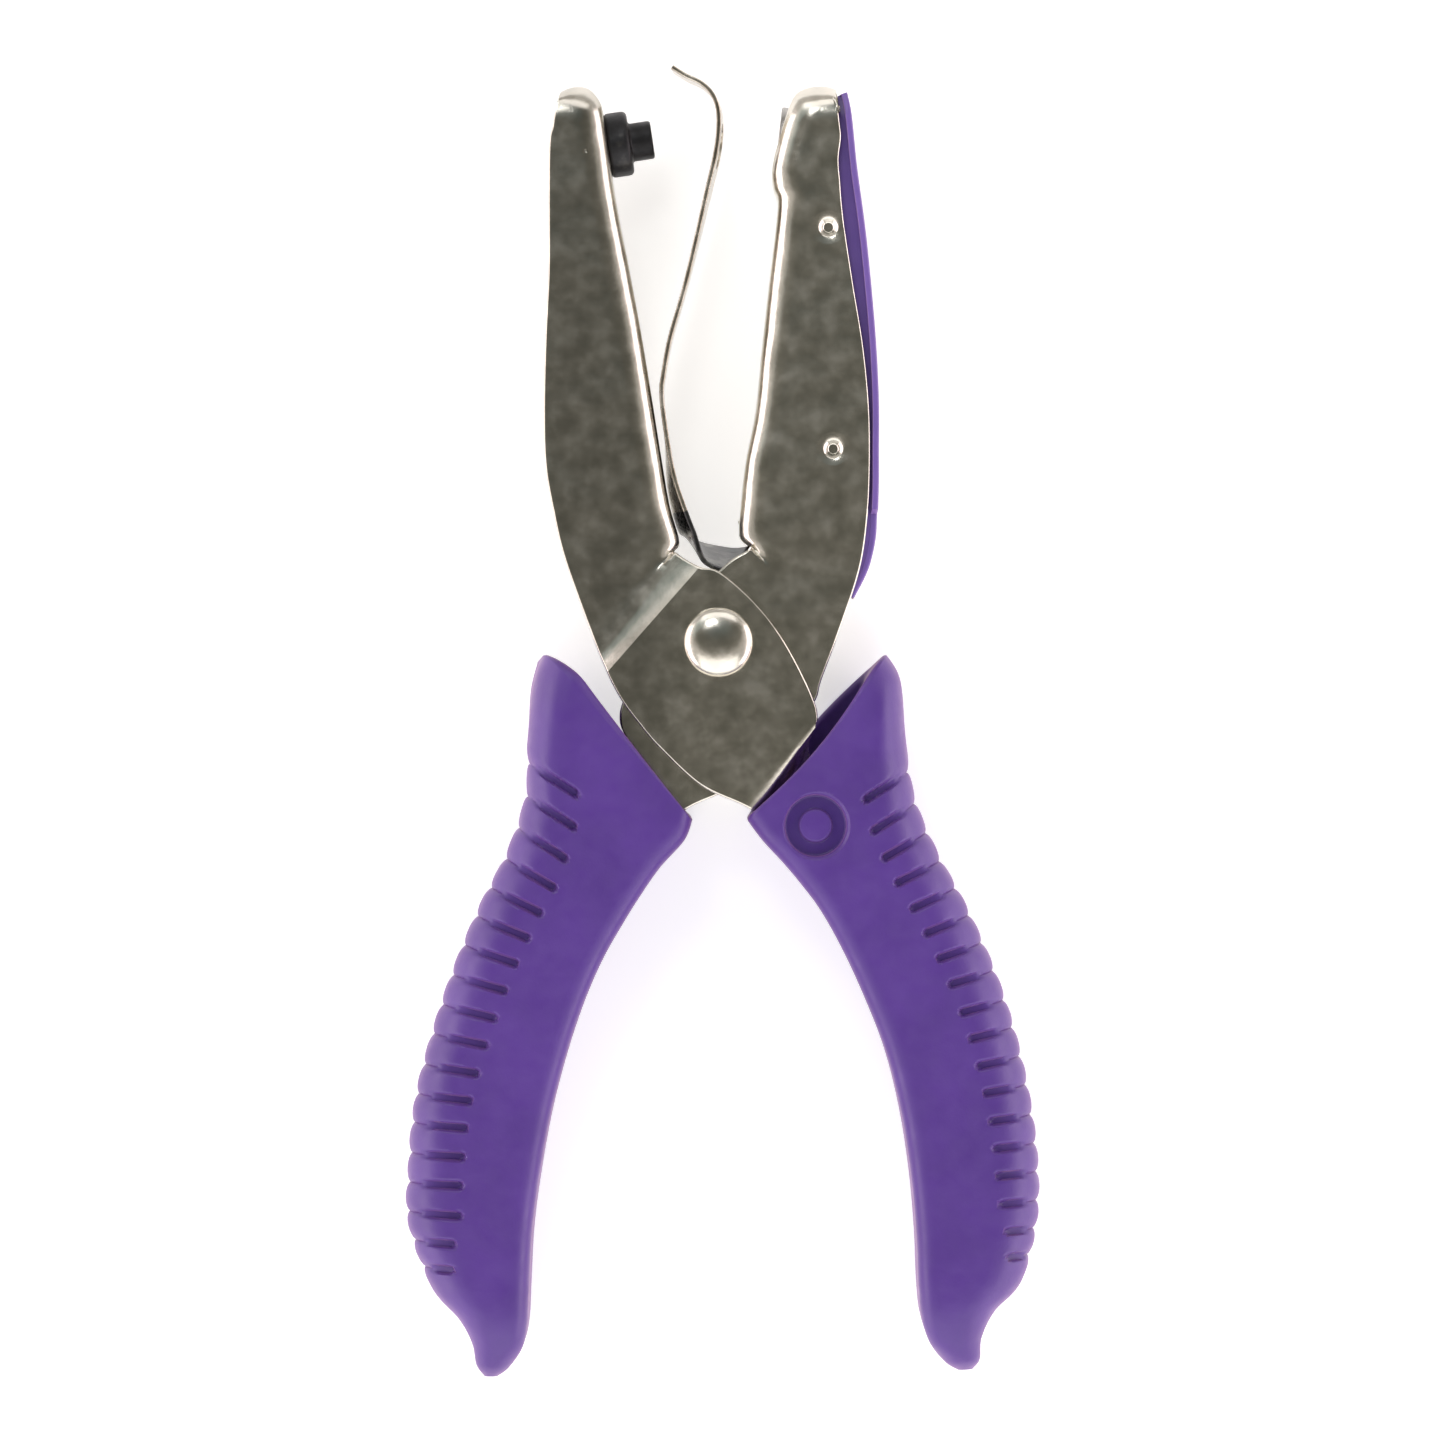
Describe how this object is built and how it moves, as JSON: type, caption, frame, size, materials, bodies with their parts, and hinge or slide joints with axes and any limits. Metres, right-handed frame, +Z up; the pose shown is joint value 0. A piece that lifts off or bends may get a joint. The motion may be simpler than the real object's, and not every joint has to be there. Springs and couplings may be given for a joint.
{
  "type": "single-hole hand punch",
  "caption": "Plier-type single-hole hand punch with crossed pressed-steel channel levers, a spring strip stripper, a chip catcher and ribbed plastic grips.",
  "frame": {"origin": "centre of the box's footprint, on the surface that the grips lie on", "axes": "+Z up, along the rivet's axis; +Y from the handles to the jaws; +X towards the die jaw and the chip catcher"},
  "size_m": [0.0792, 0.1637, 0.0191],
  "materials": {
    "plated_steel": "bright nickel plate over pressed sheet steel",
    "tool_steel": "ground tool steel",
    "black_oxide": "black oxide, satin",
    "spring_steel": "bright spring strip",
    "purple_catcher": "satin moulded plastic",
    "purple_grip": "satin soft vinyl"
  },
  "bodies": {
    "die_side": {"die_lever": "plated_steel", "left_grip": "purple_grip", "die_button": "tool_steel", "pivot_rivet": "plated_steel", "pivot_bush": "tool_steel", "return_spring": "spring_steel"},
    "punch_side": {"punch_lever": "plated_steel", "right_grip": "purple_grip", "punch_pin": "black_oxide"},
    "stripper": {"stripper_blade": "spring_steel"},
    "catcher": {"chip_catcher": "purple_catcher"}
  },
  "joints": [
    {"name": "squeeze", "type": "hinge", "parent": "die_side", "child": "punch_side", "pos_m": [0, 0.0104, 0.0095], "axis": [0, 0, -1], "range_deg": [0, 14.8], "stiffness_Nm_per_rad": 1.2, "springref_deg": -14.32, "deforming": ["return_spring"]},
    {"name": "stripper_bend", "type": "hinge", "parent": "punch_side", "child": "stripper", "pos_m": [-0.0069, 0.0426, 0.0095], "axis": [0, 0, 1], "range_deg": [0, 18.2]},
    {"name": "catcher_open", "type": "hinge", "parent": "die_side", "child": "catcher", "pos_m": [0.0156, 0.0787, 0.0095], "axis": [0, 0, 1], "range_deg": [0, 30]}
  ],
  "couplings": [
    {"joint": "stripper_bend", "follows": "squeeze", "ratio": 1.223}
  ]
}
